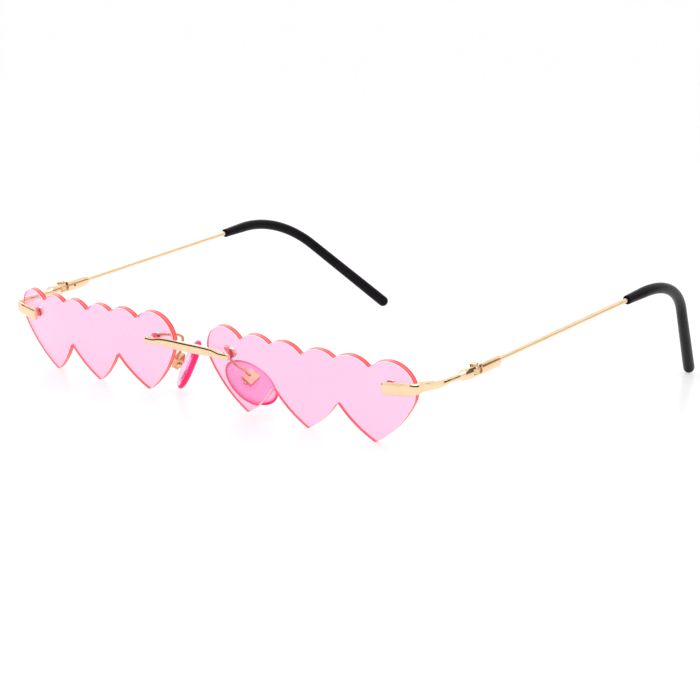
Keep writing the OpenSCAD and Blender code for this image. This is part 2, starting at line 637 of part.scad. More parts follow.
// Slider of the flex hinge: an eye on the screw and a headed rod in the housing
module hinge_slider(side) color(dark_gold) on_temple(side) difference() {
    union() {
        cylinder(r = eye_r, h = eye_t, center = true, $fn = round_fn);
        bar_box(2 * chamber_r - 4 * run_gap, 0, stop_y - flex_travel - eye_gap, eye_t);
        rod(rod_d / 2, 0, rod_end + rod_head_l);
        rod(chamber_r - run_gap, rod_end, rod_end + rod_head_l);
    }
    cylinder(r = screw_d / 2 + run_gap, h = hinge_h, center = true, $fn = small_fn);
}

// Housing of the flex hinge: hollow for the slider, with the wire's seat at its back
house_shares = [[0, 0.97], [0.03, 1], [0.66, 1], [0.82, 0.9], [0.93, 0.7], [0.95, 0.52], [1, 0.5]];
module hinge_housing(side) color(gold) on_temple(side) difference() {
    intersection() {
        bar_box(hinge_w, house_gap, house_end, hinge_h);
        rotate([-quarter_turn, 0, 0]) rotate_extrude($fn = round_fn)
            hinge_profile([for (q = house_shares) [house_gap + house_l * q[0], hinge_r * q[1]]]);
    }
    rod(chamber_r, stop_y - overrun, chamber_end);
    bar_box(2 * chamber_r, house_gap - overrun, stop_y, slot_h);
    rod(wire_d / 2 + run_gap, wire_start, house_end + overrun);
    translate([-hinge_w, lock_pin_y, 0]) rotate([0, quarter_turn, 0])
        cylinder(r = lock_pin_d / 2 + run_gap, h = hinge_w, $fn = small_fn);
}
module spring_stop(side) color(steel) on_temple(side) difference() {
    rod(chamber_r - run_gap, stop_y, stop_y + stop_l);
    rod(rod_d / 2 + run_gap, stop_y - overrun, stop_y + stop_l + overrun);
}
module lock_pin(side) color(steel) on_temple(side)
    translate([-hinge_w / 2 + lock_pin_sink, lock_pin_y, 0]) rotate([0, quarter_turn, 0])
        cylinder(r = lock_pin_d / 2, h = hinge_w / 2 - lock_pin_sink - chamber_r, $fn = small_fn);

// Flex spring: an open coil round the rod
module flex_spring(side) color(steel) on_temple(side) {
    coil_r = (rod_d / 2 + chamber_r) / 2;
    steps = 12;
    coil_l = spring_l - spring_wire - 4 * touch;
    skin([for (i = [0 : spring_turns * steps]) let (a = 2 * half_turn * i / steps,
        c = [coil_r * cos(a), stop_y + stop_l + spring_wire / 2 + 2 * touch
             + coil_l * i / (spring_turns * steps), coil_r * sin(a)],
        out = [cos(a), 0, sin(a)])
        [for (k = [0 : -1 : -5]) let (b = sixth_turn * k)
            c + spring_wire / 2 * (out * cos(b) + [0, sin(b), 0])]]);
}

// Temple path: straight back from the hinge axis, round the bend and down the tail
function arc_l(side) = bend_r * bend_turn(side) * per_degree;
function path_l(side) = straight_l + arc_l(side) + tail_l;
bend_side = turn_y([1, 0, 0], bend_lean);
bend_steps = 12;
path_sides = 16;
function path_turn(side, s) = min(max((s - straight_l) / arc_l(side), 0), 1) * bend_turn(side);
function path_pt(side, s) = let (a = path_turn(side, s), more = max(s - straight_l - arc_l(side), 0),
    y = min(s, straight_l) + bend_r * sin(a) + more * cos(a),
    drop = bend_r * (1 - cos(a)) + more * sin(a)) turn_y([0, y, -drop], bend_lean);
function path_dir(side, s) = let (a = path_turn(side, s)) turn_y([0, cos(a), -sin(a)], bend_lean);
function path_ring(side, s, d) = ring(path_pt(side, s), path_dir(side, s), bend_side, d, d, path_sides);
function bend_at(side, i) = straight_l + arc_l(side) * i / bend_steps;

tip_wire_gap = 6;
function wire_end(side) = path_l(side) - tip_wire_gap;
module temple_wire(side) color(gold) on_temple(side) skin([
    path_ring(side, wire_start, wire_d),
    for (i = [0 : bend_steps]) path_ring(side, bend_at(side, i), wire_d),
    path_ring(side, wire_end(side), wire_d)
]);

// Temple tip: a sock over the wire, from its closed inner end to the mouth and back to its round end
tip_start = straight_l - tip_lead;
mouth_share = 0.88;
mouth_l = 0.24;
tip_turns = [0, 25, 48, 66, 80];
sock_d = wire_d + 2 * fit_gap;
module temple_tip(side) color(black) on_temple(side) skin([
    path_ring(side, wire_end(side) + fit_gap, sock_d),
    for (i = [bend_steps : -1 : 0]) path_ring(side, bend_at(side, i), sock_d),
    path_ring(side, tip_start, sock_d),
    path_ring(side, tip_start, tip_front_d * mouth_share),
    path_ring(side, tip_start + mouth_l, tip_front_d),
    path_ring(side, tip_start + tip_lead / 2, (tip_front_d + tip_mid_d) / 2),
    for (i = [0 : bend_steps]) path_ring(side, bend_at(side, i), tip_mid_d),
    for (a = tip_turns)
        path_ring(side, path_l(side) - tip_end_r + tip_end_r * sin(a), tip_end_d * cos(a))
]);

lens(left);  // left_lens
lens(right);  // right_lens
bridge();
endpiece(left);  // left_endpiece
endpiece(right);  // right_endpiece
front_hinge(left);  // left_front_hinge
front_hinge(right);  // right_front_hinge
lens_bushings();
lens_washers();
lens_nuts();
pad_arm(left);  // left_pad_arm
pad_arm(right);  // right_pad_arm
pad_screws();
nose_pad(left);  // left_nose_pad
nose_pad(right);  // right_nose_pad
pad_insert(left);  // left_pad_insert
pad_insert(right);  // right_pad_insert
hinge_screw(left);  // left_hinge_screw
hinge_screw(right);  // right_hinge_screw
hinge_slider(left);  // left_hinge_slider
hinge_slider(right);  // right_hinge_slider
hinge_housing(left);  // left_hinge_housing
hinge_housing(right);  // right_hinge_housing
flex_spring(left);  // left_flex_spring
flex_spring(right);  // right_flex_spring
spring_stop(left);  // left_spring_stop
spring_stop(right);  // right_spring_stop
lock_pin(left);  // left_lock_pin
lock_pin(right);  // right_lock_pin
temple_wire(left);  // left_temple_wire
temple_wire(right);  // right_temple_wire
temple_tip(left);  // left_temple_tip
temple_tip(right);  // right_temple_tip
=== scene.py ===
from math import asin, atan2, cos, hypot, pi, radians, sin, sqrt

import bmesh
import bpy
from mathutils import Matrix, Vector
from mathutils.geometry import delaunay_2d_cdt

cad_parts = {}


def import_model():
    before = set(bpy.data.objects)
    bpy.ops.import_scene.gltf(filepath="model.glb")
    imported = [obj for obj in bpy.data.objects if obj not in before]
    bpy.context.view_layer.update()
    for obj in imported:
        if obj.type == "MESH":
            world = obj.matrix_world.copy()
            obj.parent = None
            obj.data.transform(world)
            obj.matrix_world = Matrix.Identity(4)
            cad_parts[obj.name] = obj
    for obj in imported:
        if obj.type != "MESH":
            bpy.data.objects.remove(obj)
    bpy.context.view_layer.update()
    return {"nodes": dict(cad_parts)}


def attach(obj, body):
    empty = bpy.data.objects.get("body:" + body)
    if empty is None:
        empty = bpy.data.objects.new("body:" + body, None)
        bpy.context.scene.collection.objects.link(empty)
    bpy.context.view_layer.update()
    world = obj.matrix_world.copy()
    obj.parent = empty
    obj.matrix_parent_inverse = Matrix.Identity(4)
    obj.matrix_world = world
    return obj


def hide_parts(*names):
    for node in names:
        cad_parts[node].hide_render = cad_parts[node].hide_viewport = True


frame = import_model()
scene = bpy.context.scene
scene.view_settings.view_transform = "Standard"
nodes = frame["nodes"]
MM = 0.001
SIDES = {"left": 1, "right": -1}

# Lens values. Lengths are in millimetres, and angles are written in degrees
PITCH, LENS_H, LOBE_R, LOBE_X, SIDE_TURN = 19, 21.4, 6.75, 5.18, radians(29)
TIP_R, NOTCH_R, LENS_T, CURVE_R, LENS_MID = 0.7, 0.5, 1.6, 200, 12
LENS_X, LEAN, WRAP, DROOP = 36.75, radians(14.3), radians(4.4), radians(2.8)
HOLE_X, INNER_V, OUTER_V, HOLE_R = 24, 14.2, 15.1, 0.98
EDGE_BEVEL, HOLE_BEVEL, CORE_SINK = 0.13, 0.06, 0.5

# Bridge and endpiece values
BRIDGE_LAP, BRIDGE_H, BRIDGE_END_H, BRIDGE_T = 1.5, 2.4, 1.75, 1.5
KINK_X, KINK, BOW, DROP = 8.6, 0.06, 0.2, 0.3
BAR_H, BAR_T, BAR_LAP, BAR_ROUND, BAR_RISE, ARM_D = 3.1, 1.5, 1.1, 0.5, 0.65, 1.5
BAR_GAP, BEND_GAP, COLLAR_D, STUD_D = 0.12, 0.46, 2, 1.2
BEND_H, THROAT_H, ARM_LEAD = 2.6, 1.85, 3.4
WASHER_T, INNER_STUD, OUTER_STUD, ROD_BEVEL = 0.3, 1.15, 0.65, 0.08
# How full the lower half of a bar's cross section is: 1 is an ellipse, 0 is a box
FLAT = 0.66

# Hinge and temple values
HINGE_X, HINGE_Y, HINGE_Z, SPLAY, LEAF_L, RUN_GAP = 71.3, 20.8, 18, radians(2.6), 5.7, 0.04
TURN = {1: radians(5.3), -1: radians(0.4)}
BEND = {1: radians(51.9), -1: radians(48.6)}
WIRE_D, STRAIGHT_L, BEND_R, BEND_LEAN, TAIL_L, TIP_LEAD = 1.25, 74, 34.2, radians(23), 33.4, 7.9
TIP_FRONT_D, TIP_MID_D, TIP_END_D, WIRE_START, TIP_WIRE_GAP = 2.4, 2.85, 3.2, 8.7, 6
SOCKET_GAP, LIP_L, LIP_LOW, LIP_GAIN = 0.04, 0.24, 0.8, 0.2

# Nose pad values. The tint deepens over a band near the rim, measured in shares of the width
PAD_L, PAD_W, PAD_T, PAD_REACH, PAD_EGG = 15.2, 8.7, 2.2, 1.5, 0.08
PAD_AT, PAD_TURN = (12.7, 8.5, 8.3), {1: radians(-1), -1: radians(-13)}
PAD_ANGLES = {1: [radians(a) for a in (-135, 33, 15)],
              -1: [radians(a) for a in (-135, 47.5, -5.5)]}
RIM_SHARE, RIM_FROM, RIM_WIDTH, RIM_LAYER = 0.935, 0.84, 0.12, "rim"
# Height and width of the pad's rings, as shares of its thickness and of its outline
PAD_PROFILE = [(0, 0), (0, 0.4), (0, 0.66), (0, 0.72), (0.02, 0.78), (0.06, 0.84), (0.12, 0.9),
               (0.2, 0.945), (0.3, 0.98), (0.42, 0.998), (0.5, 1), (0.62, 0.99), (0.72, 0.96),
               (0.81, 0.91), (0.88, 0.84), (0.93, 0.75), (0.97, 0.62), (0.99, 0.45), (1, 0.2), (1, 0)]

# Steps along arcs and runs, and sides of what is round
SIDE_STEPS, ROUND_STEPS, LOBE_STEPS, BAR_STEPS = 26, 12, 44, 14
BEND_STEPS, SOCKET_STEPS, WIRE_STEPS, TAPER_STEPS = 90, 40, 40, 12
HOLE_SIDES, ROD_SIDES, BAR_SIDES, WIRE_SIDES, SLEEVE_SIDES, PAD_SIDES = 40, 40, 48, 32, 48, 72
# Spacing of the grid inside the lens, least spacing along its outline, and reach of one point
GRID, MIN_STEP, SAME_POINT = 0.9, 0.03, 1e-5
# Half the length over which the temple's direction is taken
PATH_STEP = 0.05
# Remeshed copies: cell size, smoothing passes, crowning of the sides, working scale and weld
LEAF_CELL, CELL, CAST_PASSES, ARM_PASSES, DOME = 0.045, 0.05, 14, 5, 0.45
GROW, WELD_GAP, SOFTEN = 100, 2e-6, 0.5
# Edges that turn by more than this, in radians, stay sharp
LENS_SHARP, BAR_SHARP, PAD_SHARP, CAST_SHARP = 0.5, 0.9, 1.2, 3


def turn_x(p, a): return (p[0], p[1] * cos(a) - p[2] * sin(a), p[1] * sin(a) + p[2] * cos(a))
def turn_y(p, a): return (p[0] * cos(a) + p[2] * sin(a), p[1], p[2] * cos(a) - p[0] * sin(a))
def turn_z(p, a): return (p[0] * cos(a) - p[1] * sin(a), p[0] * sin(a) + p[1] * cos(a), p[2])
def add(p, q): return (p[0] + q[0], p[1] + q[1], p[2] + q[2])


# Lens outline
half_lens = PITCH + LOBE_X + LOBE_R
lobe_v = LENS_H - LOBE_R
turn_pt = Vector((LOBE_X + LOBE_R * cos(SIDE_TURN), lobe_v - LOBE_R * sin(SIDE_TURN)))
turn_dir = Vector((cos(SIDE_TURN), -sin(SIDE_TURN)))
side_r = turn_pt.dot(turn_pt) / (2 * turn_pt.dot(turn_dir))
side_c = turn_pt - side_r * turn_dir
tip_v = side_c.y - sqrt((side_r - TIP_R) ** 2 - side_c.x ** 2)


def corner_v(reach, r, level, way): return level + way * sqrt((r + NOTCH_R) ** 2 - reach * reach)


half_pitch = PITCH / 2
tip_a = atan2(tip_v - side_c.y, -side_c.x)
valley_v = corner_v(half_pitch - side_c.x, side_r, side_c.y, -1)
valley_a = atan2(valley_v - side_c.y, half_pitch - side_c.x)
dip_v = corner_v(LOBE_X, LOBE_R, lobe_v, 1)
dip_a = atan2(dip_v - lobe_v, -LOBE_X)
gap_v = corner_v(half_pitch - LOBE_X, LOBE_R, lobe_v, 1)
gap_a = atan2(gap_v - lobe_v, LOBE_X - half_pitch)


def arc(x, y, r, a0, a1, n):
    turns = [a0 + (a1 - a0) * i / n for i in range(n + 1)]
    return [(x + r * cos(a), y + r * sin(a)) for a in turns]


def lens_outline():
    """Three joined hearts: along the tips from one end to the other, and back over the lobes."""
    pts = []
    for k in (-1, 0, 1):
        m, first, last = k * PITCH, k == -1, k == 1
        start, stop = SIDE_TURN if first else -valley_a, -SIDE_TURN if last else valley_a
        pts += arc(m - side_c.x, side_c.y, side_r, pi + start, pi - tip_a, SIDE_STEPS)
        pts += arc(m, tip_v, TIP_R, -pi - tip_a, tip_a, ROUND_STEPS)
        pts += arc(m + side_c.x, side_c.y, side_r, tip_a, stop, SIDE_STEPS)
        if not last:
            pts += arc(m + half_pitch, valley_v, NOTCH_R, pi + valley_a, -valley_a, ROUND_STEPS)
    for k in (1, 0, -1):
        m, first, last = k * PITCH, k == -1, k == 1
        start, stop = -SIDE_TURN if last else pi - gap_a, pi + SIDE_TURN if first else gap_a
        pts += arc(m + LOBE_X, lobe_v, LOBE_R, start, dip_a, LOBE_STEPS)
        pts += arc(m, dip_v, NOTCH_R, dip_a - pi, -dip_a, ROUND_STEPS)
        pts += arc(m - LOBE_X, lobe_v, LOBE_R, pi - dip_a, stop, LOBE_STEPS)
        if not first:
            pts += arc(m - half_pitch, gap_v, NOTCH_R, gap_a - pi, -gap_a, ROUND_STEPS)

    def apart(p, q): return hypot(p[0] - q[0], p[1] - q[1]) > MIN_STEP

    clean = []
    for p in pts:
        if not clean or apart(p, clean[-1]):
            clean.append(p)
    return clean if apart(clean[0], clean[-1]) else clean[:-1]


def inset(pts, d):
    out, n = [], len(pts)
    for i, p in enumerate(pts):
        a, b = pts[i - 1], pts[(i + 1) % n]
        t = Vector((b[0] - a[0], b[1] - a[1])).normalized()
        out.append((p[0] - t.y * d, p[1] + t.x * d))
    return out


def lens_turned(p): return turn_x(turn_z(turn_y(p, DROOP), WRAP), LEAN)


def sag(u, z, r=CURVE_R): return CURVE_R - sqrt(r * r - u * u - z * z)


low_tip = lens_turned((PITCH, sag(PITCH, tip_v - LENS_MID), tip_v - LENS_MID))
lens_z = TIP_R * cos(LEAN) - low_tip[2]


def lens_pt(u, depth, v):
    """Place of a point given along the lens, behind its front face and up it."""
    z = v - LENS_MID
    return add((LENS_X, 0, lens_z), lens_turned((u, sag(u, z) + depth, z)))


# Temple path in the hinge's frame
def arc_l(s): return BEND_R * BEND[s]
def path_l(s): return STRAIGHT_L + arc_l(s) + TAIL_L


def path_turn(s, at): return min(max((at - STRAIGHT_L) / arc_l(s), 0), 1) * BEND[s]


def path_pt(s, at):
    a, more = path_turn(s, at), max(at - STRAIGHT_L - arc_l(s), 0)
    y = min(at, STRAIGHT_L) + BEND_R * sin(a) + more * cos(a)
    z = -BEND_R * (1 - cos(a)) - more * sin(a)
    return turn_z(turn_y((0, y, z), BEND_LEAN), TURN[s])


# The left temple's end rests on the table, which gives the temples' rise
tip_end = path_pt(1, path_l(1) - TIP_END_D / 2)
RISE = (asin((TIP_END_D / 2 - HINGE_Z) / hypot(tip_end[1], tip_end[2]))
        - atan2(tip_end[2], tip_end[1]))


def hinge_pt(p): return add((HINGE_X, HINGE_Y, HINGE_Z), turn_z(turn_x(p, RISE), -SPLAY))


# The object's middle between the bridge's front and the further temple end
inner_bar = lens_pt(-HOLE_X, -BAR_GAP - BRIDGE_T / 2, INNER_V)
front_y = inner_bar[1] - BOW - BRIDGE_T / 2
end_y = max(hinge_pt(path_pt(s, path_l(s) - TIP_END_D / 2))[1] for s in (1, -1))
MID_Y = (front_y + end_y + TIP_END_D / 2) / 2


def world(p, s): return Vector((s * p[0] * MM, (p[1] - MID_Y) * MM, p[2] * MM))


# Materials
BUMP_DEPTH = 0.00002


def new_material(name):
    mat = bpy.data.materials.new(name)
    mat.use_nodes = True
    nt = mat.node_tree
    nt.nodes.clear()
    out = nt.nodes.new("ShaderNodeOutputMaterial")
    bsdf = nt.nodes.new("ShaderNodeBsdfPrincipled")
    nt.links.new(bsdf.outputs[0], out.inputs[0])
    return mat, nt, bsdf, out


def noise(nt, scale, detail=4, rough=0.55, stretch=None):
    coord = nt.nodes.new("ShaderNodeTexCoord")
    tex = nt.nodes.new("ShaderNodeTexNoise")
    tex.inputs["Scale"].default_value = scale
    tex.inputs["Detail"].default_value = detail
    tex.inputs["Roughness"].default_value = rough
    at = coord.outputs["Object"]
    if stretch:
        mapping = nt.nodes.new("ShaderNodeMapping")
        mapping.inputs["Scale"].default_value = stretch
        nt.links.new(at, mapping.inputs["Vector"])
        at = mapping.outputs[0]
    nt.links.new(at, tex.inputs["Vector"])
    return tex.outputs["Fac"]


def ramp(nt, fac, stops):
    node = nt.nodes.new("ShaderNodeValToRGB")
    while len(node.color_ramp.elements) < len(stops):
        node.color_ramp.elements.new(0.5)
    for e, (at, c) in zip(node.color_ramp.elements, stops):
        e.position, e.color = at, (*c, 1)
    nt.links.new(fac, node.inputs[0])
    return node.outputs[0]


def spread(nt, fac, low, high, start=0.3, end=0.7):
    """The range start to end, stretched to low to high."""
    node = nt.nodes.new("ShaderNodeMapRange")
    for name, value in zip(("From Min", "From Max", "To Min", "To Max"), (start, end, low, high)):
        node.inputs[name].default_value = value
    nt.links.new(fac, node.inputs["Value"])
    return node.outputs[0]


def blend(nt, fac, first, second):
    node = nt.nodes.new("ShaderNodeMix")
    node.data_type = "RGBA"
    nt.links.new(fac, node.inputs["Factor"])
    nt.links.new(first, node.inputs["A"])
    node.inputs["B"].default_value = (*second, 1)
    return node.outputs["Result"]


def bump(nt, bsdf, height, strength):
    node = nt.nodes.new("ShaderNodeBump")
    node.inputs["Strength"].default_value = strength
    node.inputs["Distance"].default_value = BUMP_DEPTH
    nt.links.new(height, node.inputs["Height"])
    nt.links.new(node.outputs[0], bsdf.inputs["Normal"])


def worn_metal(name, light, mid, worn, rough, grain=900, brushed=None, dents=0.12):
    """Plated metal: blotchy plating, fine polish marks and a paler rub on the edges."""
    mat, nt, bsdf, _ = new_material(name)
    bsdf.inputs["Metallic"].default_value = 1
    tint = ramp(nt, noise(nt, scale=260, detail=5), [(0.35, mid), (0.65, light)])
    geo = nt.nodes.new("ShaderNodeNewGeometry")
    edge = spread(nt, geo.outputs["Pointiness"], low=0, high=0.7, start=0.52, end=0.6)
    nt.links.new(blend(nt, edge, tint, worn), bsdf.inputs["Base Color"])
    marks = noise(nt, grain, detail=6, rough=0.7, stretch=brushed)
    nt.links.new(spread(nt, marks, rough * 0.7, rough * 1.5), bsdf.inputs["Roughness"])
    bump(nt, bsdf, marks, dents)
    return mat


def moulded(name, dark, light, rough, scale=1400, specular=0.5, strength=0.15):
    """Moulded plastic: slight colour drift, satin patches and a fine pebble."""
    mat, nt, bsdf, _ = new_material(name)
    colour = ramp(nt, noise(nt, scale=180), [(0.3, dark), (0.7, light)])
    nt.links.new(colour, bsdf.inputs["Base Color"])
    pebble = noise(nt, scale, detail=5, rough=0.6)
    nt.links.new(spread(nt, pebble, rough * 0.8, rough * 1.3), bsdf.inputs["Roughness"])
    bsdf.inputs["IOR"].default_value = 1.5
    bsdf.inputs["Specular IOR Level"].default_value = specular
    bump(nt, bsdf, pebble, strength)
    return mat


def tinted(name, low, high, shade, rough, ior=1.49, scale=60, strength=0.02,
           clear_share=1.0, rim=None):
    """Clear tinted plastic that lets lamps through with its own tint, deeper where it has a rim."""
    mat, nt, bsdf, out = new_material(name)
    colour = ramp(nt, noise(nt, scale, detail=3), [(0.3, low), (0.7, high)])
    if rim:
        att = nt.nodes.new("ShaderNodeAttribute")
        att.attribute_name = RIM_LAYER
        colour = blend(nt, att.outputs["Fac"], colour, rim)
    nt.links.new(colour, bsdf.inputs["Base Color"])
    bsdf.inputs["Transmission Weight"].default_value = clear_share
    bsdf.inputs["IOR"].default_value = ior
    polish = noise(nt, scale=700, detail=5)
    nt.links.new(spread(nt, polish, rough * 0.6, rough * 1.4), bsdf.inputs["Roughness"])
    bump(nt, bsdf, polish, strength)
    path = nt.nodes.new("ShaderNodeLightPath")
    clear = nt.nodes.new("ShaderNodeBsdfTransparent")
    clear.inputs[0].default_value = (*shade, 1)
    mix = nt.nodes.new("ShaderNodeMixShader")
    nt.links.new(path.outputs["Is Shadow Ray"], mix.inputs[0])
    nt.links.new(bsdf.outputs[0], mix.inputs[1])
    nt.links.new(clear.outputs[0], mix.inputs[2])
    nt.links.new(mix.outputs[0], out.inputs[0])
    return mat


def painted_glow(mat, colour, strength):
    """Painted glow: a small emission, which lightens the part where it lies in shade and stands for
    the light that clear plastic gathers.
    """
    shader = mat.node_tree.nodes["Principled BSDF"]
    shader.inputs["Emission Color"].default_value = (*colour, 1)
    shader.inputs["Emission Strength"].default_value = strength
    return mat


GOLD = worn_metal("champagne_gold", light=(0.96, 0.73, 0.49), mid=(0.93, 0.68, 0.43),
                  worn=(1.0, 0.87, 0.68), rough=0.09)
WIRE_GOLD = worn_metal("drawn_gold", light=(0.98, 0.76, 0.52), mid=(0.94, 0.7, 0.45),
                       worn=(1.0, 0.86, 0.67), rough=0.13, grain=1500, brushed=(1, 0.08, 1))
ARM_GOLD = worn_metal("arm_gold", light=(0.84, 0.5, 0.28), mid=(0.6, 0.28, 0.14),
                      worn=(0.98, 0.72, 0.5), rough=0.12, grain=500, dents=0.9)
HINGE_GOLD = worn_metal("hinge_gold", light=(0.72, 0.47, 0.24), mid=(0.55, 0.33, 0.15),
                        worn=(0.9, 0.7, 0.45), rough=0.2)
STEEL = worn_metal("spring_steel", light=(0.62, 0.62, 0.64), mid=(0.5, 0.5, 0.53),
                   worn=(0.8, 0.8, 0.8), rough=0.22, grain=2400)
# Lock pins are near black: a painted shade that makes the holes they sit in look dark
PIN_PAINTED_SHADE = worn_metal("pin_painted_shade", light=(0.06, 0.04, 0.03), mid=(0.03, 0.02, 0.016),
                 worn=(0.12, 0.08, 0.06), rough=0.3, grain=2400)
FACE = tinted("lens_tint", low=(0.99, 0.565, 0.775), high=(1.0, 0.583, 0.79),
              shade=(0.98, 0.62, 0.84), rough=0.012)
EDGE = moulded("lens_edge", dark=(0.85, 0.012, 0.006), light=(0.95, 0.035, 0.025),
               rough=0.25, scale=500, specular=0.15, strength=0.1)
EDGE_CORE = moulded("lens_edge_core", dark=(0.95, 0.08, 0.08), light=(1.0, 0.19, 0.2),
                    rough=0.25, scale=500, specular=0.15, strength=0.1)
# The cut edge's walls get a painted glow, which lightens them where they lie in shade behind the
# glass
for wall in (EDGE, EDGE_CORE):
    painted_glow(wall, (1, 0.13, 0.13), 0.42)
# The bevel is opaque pale pink: a painted highlight for the white line that the polished bevel shows
# between the face and the red edge
PALE_BEVEL_HIGHLIGHT = moulded("lens_bevel_painted_highlight", dark=(1.0, 0.72, 0.84), light=(1.0, 0.86, 0.92),
                rough=0.12, scale=500, specular=0.5, strength=0.05)
PAD = tinted("pad_silicone", low=(0.98, 0.48, 0.76), high=(1.0, 0.55, 0.8),
             shade=(0.98, 0.7, 0.86), rough=0.09, ior=1.41, scale=300, strength=0.1,
             clear_share=0.84, rim=(1.0, 0.12, 0.4))
PAD_RIM = moulded("pad_rim", dark=(1.0, 0.015, 0.13), light=(1.0, 0.04, 0.26),
                  rough=0.3, scale=700, specular=0.2)
WASHER = tinted("rosy_washer", low=(0.98, 0.2, 0.33), high=(1.0, 0.32, 0.46),
                shade=(0.95, 0.4, 0.5), rough=0.1, ior=1.46, scale=400, strength=0.08,
                clear_share=0.6)
CORE = tinted("clear_core", low=(1.0, 0.72, 0.85), high=(1.0, 0.8, 0.9),
              shade=(0.97, 0.85, 0.9), rough=0.15, ior=1.42, scale=400, strength=0.05,
              clear_share=0.55)
# The pad insert gets a painted glow, which lightens it where it lies in shade inside the pad
painted_glow(CORE, (1, 0.55, 0.76), 0.4)
TIP = moulded("tip_black", dark=(0.003, 0.002, 0.004), light=(0.007, 0.005, 0.008),
              rough=0.28, specular=0.08)

# The finish of each solid, by the first of these words that its name holds, or else gold
FINISHES = (("bushings", WASHER), ("washers", WASHER), ("pad_insert", CORE), ("lock_pin", PIN_PAINTED_SHADE),
            ("spring", STEEL), ("screw", HINGE_GOLD), ("slider", HINGE_GOLD),
            ("temple_tip", TIP), ("_lens", FACE), ("nose_pad", PAD))
for name, node in nodes.items():
    node.data.materials.clear()
    node.data.materials.append(next((mat for word, mat in FINISHES if word in name), GOLD))


# Pieces
def piece(name, bm_or_mesh, mats, body, replaced, sharp):
    if isinstance(bm_or_mesh, bmesh.types.BMesh):
        mesh = bpy.data.meshes.new(name)
        bmesh.ops.recalc_face_normals(bm_or_mesh, faces=bm_or_mesh.faces)
        bm_or_mesh.to_mesh(mesh)
        bm_or_mesh.free()
    else:
        mesh = bm_or_mesh
        mesh.name = name
    obj = bpy.data.objects.new(name, mesh)
    scene.collection.objects.link(obj)
    for m in mats:
        mesh.materials.append(m)
    mesh.set_sharp_from_angle(angle=sharp)
    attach(obj, body)
    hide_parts(*replaced)
    return obj


# Materials of the lens by number, and those of the rows from its front face to its back one
LENS_MATS = [FACE, EDGE, PALE_BEVEL_HIGHLIGHT, EDGE_CORE]
ROW_MATS = (2, 1, 3, 1, 2)


def lens_mesh(s):
    """Curved plate with two holes, a polished bevel all round painted pale as a highlight, and three
    bands on the cut edge.
    """
    holes = [arc(x, v, HOLE_R, 0, -2 * pi, HOLE_SIDES)[:-1]
             for x, v in ((-HOLE_X, INNER_V), (HOLE_X, OUTER_V))]
    loops = [lens_outline()] + holes
    bevels = [EDGE_BEVEL] + [HOLE_BEVEL] * len(holes)
    inner = [inset(loop, bevel) for loop, bevel in zip(loops, bevels)]
    flat, edges, walls = [], [], []
    for loop in inner:
        at, n = len(flat), len(loop)
        flat += [Vector(p) for p in loop]
        edges += [(at + i, at + (i + 1) % n) for i in range(n)]
        walls += [(loop[i], loop[(i + 1) % n]) for i in range(n)]
    for i in range(int(-half_lens / GRID), int(half_lens / GRID) + 1):
        for j in range(1, int(LENS_H / GRID) + 1):
            flat.append(Vector((i * GRID + (j % 2) * GRID / 2, j * GRID)))
    co, _, faces, orig, *_ = delaunay_2d_cdt(flat, edges, [], 0, SAME_POINT)

    def inside(face):
        x, y = sum(co[i].x for i in face) / len(face), sum(co[i].y for i in face) / len(face)
        hit = False
        for (x0, y0), (x1, y1) in walls:
            if (y0 > y) != (y1 > y) and x < (x1 - x0) * (y - y0) / (y1 - y0) + x0:
                hit = not hit
        return hit

    keep = [face for face in faces if inside(face)]
    near = {k: i for i, src in enumerate(orig) for k in src}
    bm = bmesh.new()

    def vert(u, v, behind, sink):
        z = v - LENS_MID
        y = sag(u, z, CURVE_R - LENS_T) - sink if behind else sag(u, z) + sink
        return bm.verts.new(world(add((LENS_X, 0, lens_z), lens_turned((u, y, z))), s))

    used = sorted({i for face in keep for i in face})
    front = {i: vert(co[i].x, co[i].y, False, 0) for i in used}
    back = {i: vert(co[i].x, co[i].y, True, 0) for i in used}
    for face in keep:
        bm.faces.new([front[i] for i in face])
        bm.faces.new([back[i] for i in reversed(face)])
    at = 0
    for loop, bevel in zip(loops, bevels):
        n = len(loop)
        cuts = ((False, bevel), (False, CORE_SINK), (True, CORE_SINK), (True, bevel))
        rows = [[vert(*p, behind, sink) for p in loop] for behind, sink in cuts]
        rows.insert(0, [front[near[at + i]] for i in range(n)])
        rows.append([back[near[at + i]] for i in range(n)])
        for mat, a, b in zip(ROW_MATS, rows, rows[1:]):
            for i in range(n):
                quad = [a[i], a[(i + 1) % n], b[(i + 1) % n], b[i]]
                if len(set(quad)) == 4:
                    bm.faces.new(quad).material_index = mat
        at += n
    return bm


for name, s in SIDES.items():
    piece(f"{name}_heart_lens", lens_mesh(s), LENS_MATS, "front", [f"{name}_lens"], LENS_SHARP)


def catmull(p, n):
    """Smooth curve through the stations, with n steps between each two."""
    out = []
    for i in range(len(p) - 1):
        a, b, c, d = (p[max(i - 1, 0)], p[i], p[i + 1], p[min(i + 2, len(p) - 1)])
        for k in range(n):
            t = k / n
            out.append([0.5 * (2 * y + (z - x) * t + (2 * x - 5 * y + 4 * z - w) * t * t
                               + (3 * y - x - 3 * z + w) * t ** 3) for x, y, z, w in zip(a, b, c, d)])
    return out + [list(p[-1])]


BAR_UP = Vector((0, -sin(LEAN), cos(LEAN)))


def ring(c, t, h, w):
    """Cross section of a bar: an ellipse above and a fuller curve below."""
    side = t.cross(BAR_UP).normalized()
    top = side.cross(t)
    pts = []
    for k in range(BAR_SIDES):
        a = 2 * pi * k / BAR_SIDES
        power = 1 if sin(a) > 0 else FLAT
        x = w / 2 * abs(cos(a)) ** power * (1 if cos(a) >= 0 else -1)
        y = h / 2 * abs(sin(a)) ** power * (1 if sin(a) >= 0 else -1)
        pts.append(c + side * x + top * y)
    return pts


